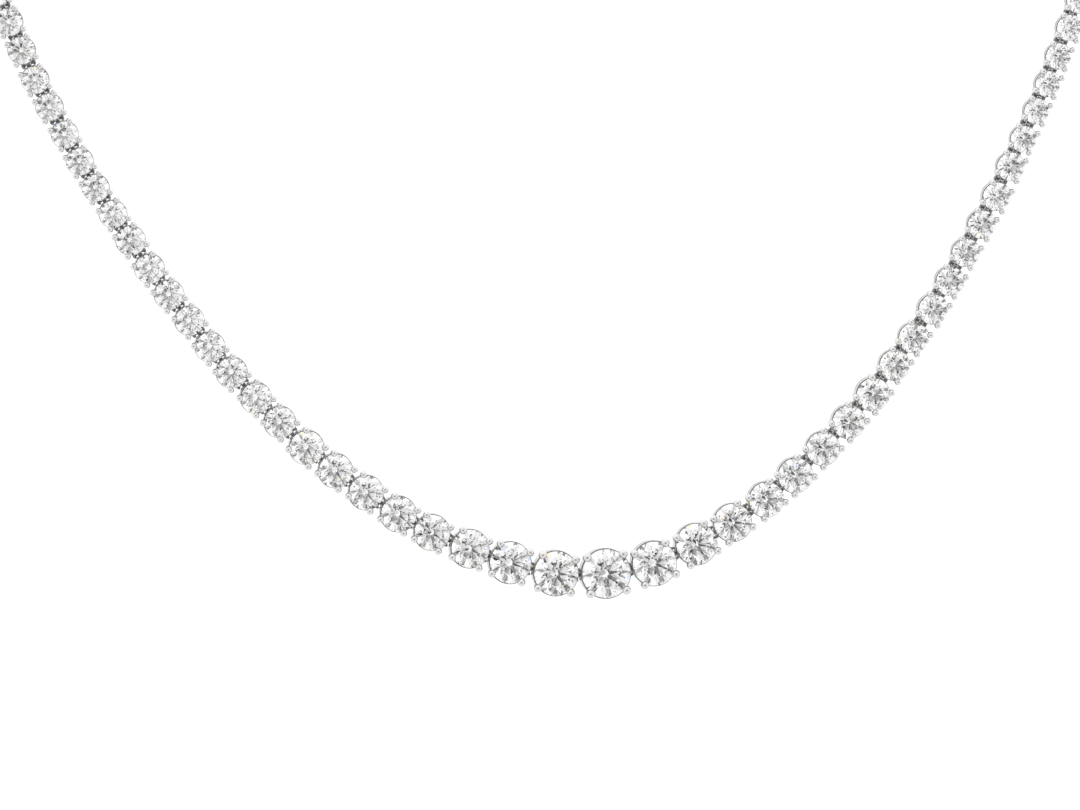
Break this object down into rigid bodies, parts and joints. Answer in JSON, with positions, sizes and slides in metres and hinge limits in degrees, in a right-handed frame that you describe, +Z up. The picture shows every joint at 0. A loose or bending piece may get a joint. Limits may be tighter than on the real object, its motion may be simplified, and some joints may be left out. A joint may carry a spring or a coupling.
{
  "type": "riviere necklace",
  "caption": "Graduated line of round brilliants in claw baskets, hinged link to link in a closed loop and held in the form it has when worn.",
  "frame": {"origin": "middle of the clasp's face that lies on the nape", "axes": "+Z up, -Y the wearer's front, +X to the right of someone who looks at the front; the necklace is mirrored across the YZ plane"},
  "size_m": [0.1276, 0.0963, 0.1015],
  "materials": {
    "white_gold": "polished white gold with a bright rhodium finish",
    "diamond": "colourless brilliant-cut diamond"
  },
  "bodies": {
    "root": {"clasp": "white_gold", "setting_centre": "white_gold", "stone_centre": "diamond", "setting_right_1": "white_gold", "setting_right_2": "white_gold", "setting_right_3": "white_gold", "setting_right_4": "white_gold", "setting_right_5": "white_gold", "setting_right_6": "white_gold", "setting_right_7": "white_gold", "setting_right_8": "white_gold", "setting_right_9": "white_gold", "setting_left_1": "white_gold", "setting_left_2": "white_gold", "setting_left_3": "white_gold", "setting_left_4": "white_gold", "setting_left_5": "white_gold", "setting_left_6": "white_gold", "setting_left_7": "white_gold", "setting_left_8": "white_gold", "setting_left_9": "white_gold", "stone_right_1": "diamond", "stone_right_2": "diamond", "stone_right_3": "diamond", "stone_right_4": "diamond", "stone_right_5": "diamond", "stone_right_6": "diamond", "stone_right_7": "diamond", "stone_right_8": "diamond", "stone_right_9": "diamond", "stone_left_1": "diamond", "stone_left_2": "diamond", "stone_left_3": "diamond", "stone_left_4": "diamond", "stone_left_5": "diamond", "stone_left_6": "diamond", "stone_left_7": "diamond", "stone_left_8": "diamond", "stone_left_9": "diamond", "settings_right_chain": "white_gold", "settings_left_chain": "white_gold", "stones_right_chain": "diamond", "stones_left_chain": "diamond"}
  },
  "joints": []
}
